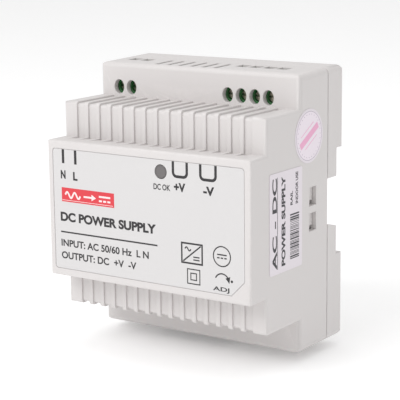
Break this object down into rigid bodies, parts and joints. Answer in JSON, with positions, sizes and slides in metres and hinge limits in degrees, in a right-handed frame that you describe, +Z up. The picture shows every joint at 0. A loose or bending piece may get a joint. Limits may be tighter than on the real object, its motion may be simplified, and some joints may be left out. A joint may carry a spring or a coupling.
{
  "type": "din rail power supply",
  "caption": "Stepped light grey plastic box with ribbed steps and a flat label in front, screw terminals along the top edge and a sprung latch for a 35 mm rail behind.",
  "frame": {"origin": "middle of the rail seat: on the case's middle plane, on the plane of the rail's front lips, at the rail's centre line", "axes": "+X to the right seen from the front, +Y back towards the rail, +Z up"},
  "size_m": [0.0782, 0.056, 0.0937],
  "materials": {
    "housing": "fine moulded texture, warm light grey",
    "latch": "fine moulded texture, light grey",
    "label": "printed film with a satin surface",
    "seal": "printed paper sticker",
    "lens": "diffusing grey window",
    "led": "tinted clear resin",
    "terminal": "dark green moulded polyamide",
    "board": "green solder resist over glass laminate",
    "steel": "zinc plated",
    "tinned": "tin plated",
    "aluminium": "mill finish",
    "copper": "enamelled copper wire",
    "ferrite": "ground ferrite",
    "epoxy": "moulded black epoxy",
    "sleeve": "shrink sleeve",
    "film": "yellow tape and potted film case",
    "disc": "blue dipped coating"
  },
  "bodies": {
    "case": {"front_housing": "housing", "rear_cover": "housing", "latch_spring": "steel", "front_label": "label", "rating_sticker": "label", "round_sticker": "seal", "status_window": "lens", "status_led": "led", "led_spacer": "epoxy", "input_terminal_block": "terminal", "output_terminal_block": "terminal", "contact_tongue_line_neutral": "tinned", "contact_tongue_line_live": "tinned", "contact_tongue_plus_1": "tinned", "contact_tongue_plus_2": "tinned", "contact_tongue_minus_1": "tinned", "contact_tongue_minus_2": "tinned", "main_board": "board", "board_screw_1": "steel", "board_screw_2": "steel", "board_screw_3": "steel", "board_screw_4": "steel", "fuse": "epoxy", "inrush_thermistor": "ferrite", "surge_varistor": "disc", "mains_filter_capacitor": "film", "choke_core": "ferrite", "choke_winding_upper": "copper", "choke_winding_lower": "copper", "choke_base": "epoxy", "bridge_rectifier": "epoxy", "bulk_capacitor": "sleeve", "transformer_core": "ferrite", "transformer_bobbin": "epoxy", "transformer_winding": "film", "primary_heat_sink": "aluminium", "switching_transistor": "epoxy", "output_heat_sink": "aluminium", "output_diode": "epoxy", "output_capacitor_1": "sleeve", "output_capacitor_2": "sleeve", "output_inductor": "ferrite", "interference_capacitor": "disc", "optocoupler": "epoxy", "pwm_controller": "epoxy", "trimmer_body": "disc"},
    "rail_latch": {"rail_latch": "latch"},
    "terminal_screw_line_neutral": {"terminal_screw_line_neutral": "steel"},
    "clamp_cage_line_neutral": {"clamp_cage_line_neutral": "steel"},
    "terminal_screw_line_live": {"terminal_screw_line_live": "steel"},
    "clamp_cage_line_live": {"clamp_cage_line_live": "steel"},
    "terminal_screw_plus_1": {"terminal_screw_plus_1": "steel"},
    "clamp_cage_plus_1": {"clamp_cage_plus_1": "steel"},
    "terminal_screw_plus_2": {"terminal_screw_plus_2": "steel"},
    "clamp_cage_plus_2": {"clamp_cage_plus_2": "steel"},
    "terminal_screw_minus_1": {"terminal_screw_minus_1": "steel"},
    "clamp_cage_minus_1": {"clamp_cage_minus_1": "steel"},
    "terminal_screw_minus_2": {"terminal_screw_minus_2": "steel"},
    "clamp_cage_minus_2": {"clamp_cage_minus_2": "steel"},
    "trimmer_rotor": {"trimmer_rotor": "latch"}
  },
  "joints": [
    {"name": "latch_slide", "type": "slide", "parent": "case", "child": "rail_latch", "axis": [0, 0, -1], "range_m": [0, 0.005], "stiffness_N_per_m": 800, "springref_m": -0.008, "deforming": ["latch_spring"]},
    {"name": "cage_slide_line_neutral", "type": "slide", "parent": "case", "child": "clamp_cage_line_neutral", "axis": [0, -1, 0], "range_m": [0, 0.0019]},
    {"name": "screw_turn_line_neutral", "type": "hinge", "parent": "case", "child": "terminal_screw_line_neutral", "pos_m": [-0.0314, -0.0184, 0.03575], "axis": [0, 1, 0], "range_deg": [0, 1560]},
    {"name": "cage_slide_line_live", "type": "slide", "parent": "case", "child": "clamp_cage_line_live", "axis": [0, -1, 0], "range_m": [0, 0.0019]},
    {"name": "screw_turn_line_live", "type": "hinge", "parent": "case", "child": "terminal_screw_line_live", "pos_m": [-0.02632, -0.0184, 0.03575], "axis": [0, 1, 0], "range_deg": [0, 1560]},
    {"name": "cage_slide_plus_1", "type": "slide", "parent": "case", "child": "clamp_cage_plus_1", "axis": [0, -1, 0], "range_m": [0, 0.0019]},
    {"name": "screw_turn_plus_1", "type": "hinge", "parent": "case", "child": "terminal_screw_plus_1", "pos_m": [0.012, -0.0184, 0.03575], "axis": [0, 1, 0], "range_deg": [0, 1560]},
    {"name": "cage_slide_plus_2", "type": "slide", "parent": "case", "child": "clamp_cage_plus_2", "axis": [0, -1, 0], "range_m": [0, 0.0019]},
    {"name": "screw_turn_plus_2", "type": "hinge", "parent": "case", "child": "terminal_screw_plus_2", "pos_m": [0.01708, -0.0184, 0.03575], "axis": [0, 1, 0], "range_deg": [0, 1560]},
    {"name": "cage_slide_minus_1", "type": "slide", "parent": "case", "child": "clamp_cage_minus_1", "axis": [0, -1, 0], "range_m": [0, 0.0019]},
    {"name": "screw_turn_minus_1", "type": "hinge", "parent": "case", "child": "terminal_screw_minus_1", "pos_m": [0.02216, -0.0184, 0.03575], "axis": [0, 1, 0], "range_deg": [0, 1560]},
    {"name": "cage_slide_minus_2", "type": "slide", "parent": "case", "child": "clamp_cage_minus_2", "axis": [0, -1, 0], "range_m": [0, 0.0019]},
    {"name": "screw_turn_minus_2", "type": "hinge", "parent": "case", "child": "terminal_screw_minus_2", "pos_m": [0.02724, -0.0184, 0.03575], "axis": [0, 1, 0], "range_deg": [0, 1560]},
    {"name": "trimmer_turn", "type": "hinge", "parent": "case", "child": "trimmer_rotor", "pos_m": [0.0286, -0.0154, -0.03815], "axis": [0, 1, 0], "range_deg": [-130, 130]}
  ],
  "couplings": [
    {"joint": "screw_turn_line_neutral", "follows": "cage_slide_line_neutral", "rad_per_m": 13963},
    {"joint": "screw_turn_line_live", "follows": "cage_slide_line_live", "rad_per_m": 13963},
    {"joint": "screw_turn_plus_1", "follows": "cage_slide_plus_1", "rad_per_m": 13963},
    {"joint": "screw_turn_plus_2", "follows": "cage_slide_plus_2", "rad_per_m": 13963},
    {"joint": "screw_turn_minus_1", "follows": "cage_slide_minus_1", "rad_per_m": 13963},
    {"joint": "screw_turn_minus_2", "follows": "cage_slide_minus_2", "rad_per_m": 13963}
  ]
}
